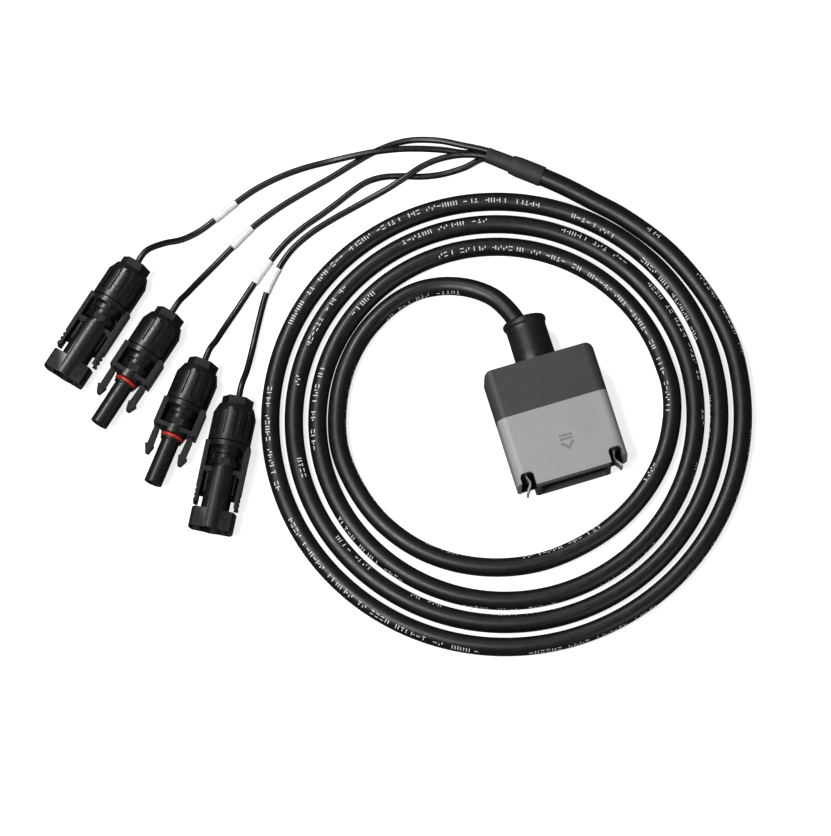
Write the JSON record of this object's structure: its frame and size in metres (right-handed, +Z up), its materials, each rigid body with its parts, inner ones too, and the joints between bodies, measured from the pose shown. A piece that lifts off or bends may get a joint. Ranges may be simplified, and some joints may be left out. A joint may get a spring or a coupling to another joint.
{
  "type": "micro inverter solar input cable",
  "caption": "Coiled four-core solar input harness with a flat latching plug, heat-shrink splitter and single-core leads ending in round weatherproof connectors.",
  "frame": {"origin": "bottom centre of the main plug with its boot and hooks, on the surface that it lies on", "axes": "the plug is inserted along -Y, +Z is up, +X is to the right seen from behind the plug with its printed side up"},
  "size_m": [0.3033, 0.2508, 0.02],
  "materials": {
    "dark_grey_plastic": "fine matte texture",
    "light_grey_plastic": "fine matte texture",
    "dark_insulator": "moulded, satin",
    "black_rubber": "soft matte",
    "spring_steel": "stamped, satin",
    "brass": "turned and tinned",
    "wire_insulation": "smooth satin",
    "cable_sheath": "smooth satin with a printed tick legend",
    "heat_shrink": "shrunk sleeve, satin",
    "white_marker": "smooth white sleeve",
    "red_rubber": "smooth moulded ring",
    "grey_rubber": "soft moulded seal",
    "cage_plastic": "moulded",
    "connector_plastic": "moulded with a slight sheen"
  },
  "bodies": {
    "harness": {"plug_rear_shell": "dark_grey_plastic", "plug_front_shell": "light_grey_plastic", "plug_contact_block": "dark_insulator", "plug_power_contacts": "brass", "plug_face_seal": "black_rubber", "plug_boot": "black_rubber", "plug_cable_clamp": "dark_insulator", "plug_cores": "wire_insulation", "cable_inner_lead": "cable_sheath", "cable_coil": "cable_sheath", "cable_outer_lead": "cable_sheath", "splitter_wide_sleeve": "heat_shrink", "splitter_narrow_sleeve": "heat_shrink", "branch_wire_1": "wire_insulation", "branch_wire_2": "wire_insulation", "branch_wire_3": "wire_insulation", "branch_wire_4": "wire_insulation", "marker_sleeve_1": "white_marker", "marker_sleeve_2": "white_marker", "marker_sleeve_3": "white_marker", "marker_sleeve_4": "white_marker", "connector_1_housing": "connector_plastic", "connector_1_gland_seal": "grey_rubber", "connector_1_contact": "brass", "connector_2_housing": "connector_plastic", "connector_2_gland_seal": "grey_rubber", "connector_2_contact": "brass", "connector_2_o_ring": "red_rubber", "connector_3_housing": "connector_plastic", "connector_3_gland_seal": "grey_rubber", "connector_3_contact": "brass", "connector_3_o_ring": "red_rubber", "connector_4_housing": "connector_plastic", "connector_4_gland_seal": "grey_rubber", "connector_4_contact": "brass"},
    "plug_latch_left": {"plug_latch_left": "spring_steel"},
    "plug_latch_right": {"plug_latch_right": "spring_steel"},
    "connector_1_cage": {"connector_1_clamp_cage": "cage_plastic"},
    "connector_1_nut": {"connector_1_cap_nut": "connector_plastic"},
    "connector_2_cage": {"connector_2_clamp_cage": "cage_plastic"},
    "connector_2_nut": {"connector_2_cap_nut": "connector_plastic"},
    "connector_3_cage": {"connector_3_clamp_cage": "cage_plastic"},
    "connector_3_nut": {"connector_3_cap_nut": "connector_plastic"},
    "connector_4_cage": {"connector_4_clamp_cage": "cage_plastic"},
    "connector_4_nut": {"connector_4_cap_nut": "connector_plastic"},
    "connector_2_latch_left": {"connector_2_latch_left": "connector_plastic"},
    "connector_2_latch_right": {"connector_2_latch_right": "connector_plastic"},
    "connector_3_latch_left": {"connector_3_latch_left": "connector_plastic"},
    "connector_3_latch_right": {"connector_3_latch_right": "connector_plastic"}
  },
  "joints": [
    {"name": "plug_latch_left_flex", "type": "hinge", "parent": "harness", "child": "plug_latch_left", "pos_m": [-0.0205, -0.029, 0.01], "axis": [0, 0, 1], "range_deg": [0, 8], "stiffness_Nm_per_rad": 0.8},
    {"name": "plug_latch_right_flex", "type": "hinge", "parent": "harness", "child": "plug_latch_right", "pos_m": [0.0205, -0.029, 0.01], "axis": [0, 0, -1], "range_deg": [0, 8], "stiffness_Nm_per_rad": 0.8},
    {"name": "connector_1_nut_travel", "type": "slide", "parent": "harness", "child": "connector_1_cage", "axis": [0.7547, 0.6561, 0], "range_m": [0, 0.0045]},
    {"name": "connector_1_nut_spin", "type": "hinge", "parent": "connector_1_cage", "child": "connector_1_nut", "pos_m": [-0.16625, 0.10904, 0.00975], "axis": [0.7547, 0.6561, 0], "range_deg": [0, 1080]},
    {"name": "connector_2_nut_travel", "type": "slide", "parent": "harness", "child": "connector_2_cage", "axis": [0.7547, 0.6561, 0], "range_m": [0, 0.0045]},
    {"name": "connector_2_nut_spin", "type": "hinge", "parent": "connector_2_cage", "child": "connector_2_nut", "pos_m": [-0.15835, 0.08224, 0.00975], "axis": [0.7547, 0.6561, 0], "range_deg": [0, 1080]},
    {"name": "connector_3_nut_travel", "type": "slide", "parent": "harness", "child": "connector_3_cage", "axis": [0.6293, 0.7771, 0], "range_m": [0, 0.0045]},
    {"name": "connector_3_nut_spin", "type": "hinge", "parent": "connector_3_cage", "child": "connector_3_nut", "pos_m": [-0.14929, 0.05493, 0.00975], "axis": [0.6293, 0.7771, 0], "range_deg": [0, 1080]},
    {"name": "connector_4_nut_travel", "type": "slide", "parent": "harness", "child": "connector_4_cage", "axis": [0.4772, 0.8788, 0], "range_m": [0, 0.0045]},
    {"name": "connector_4_nut_spin", "type": "hinge", "parent": "connector_4_cage", "child": "connector_4_nut", "pos_m": [-0.13787, 0.03301, 0.00975], "axis": [0.4772, 0.8788, 0], "range_deg": [0, 1080]},
    {"name": "connector_2_latch_left_flex", "type": "hinge", "parent": "harness", "child": "connector_2_latch_left", "pos_m": [-0.17317, 0.05875, 0.00975], "axis": [0, 0, -1], "range_deg": [0, 6], "stiffness_Nm_per_rad": 1},
    {"name": "connector_2_latch_right_flex", "type": "hinge", "parent": "harness", "child": "connector_2_latch_right", "pos_m": [-0.18367, 0.07083, 0.00975], "axis": [0, 0, 1], "range_deg": [0, 6], "stiffness_Nm_per_rad": 1},
    {"name": "connector_3_latch_left_flex", "type": "hinge", "parent": "harness", "child": "connector_3_latch_left", "pos_m": [-0.15982, 0.02922, 0.00975], "axis": [0, 0, -1], "range_deg": [0, 6], "stiffness_Nm_per_rad": 1},
    {"name": "connector_3_latch_right_flex", "type": "hinge", "parent": "harness", "child": "connector_3_latch_right", "pos_m": [-0.17225, 0.03929, 0.00975], "axis": [0, 0, 1], "range_deg": [0, 6], "stiffness_Nm_per_rad": 1}
  ],
  "couplings": [
    {"joint": "connector_1_nut_travel", "follows": "connector_1_nut_spin", "m_per_rad": 0.00023873},
    {"joint": "connector_2_nut_travel", "follows": "connector_2_nut_spin", "m_per_rad": 0.00023873},
    {"joint": "connector_3_nut_travel", "follows": "connector_3_nut_spin", "m_per_rad": 0.00023873},
    {"joint": "connector_4_nut_travel", "follows": "connector_4_nut_spin", "m_per_rad": 0.00023873}
  ]
}
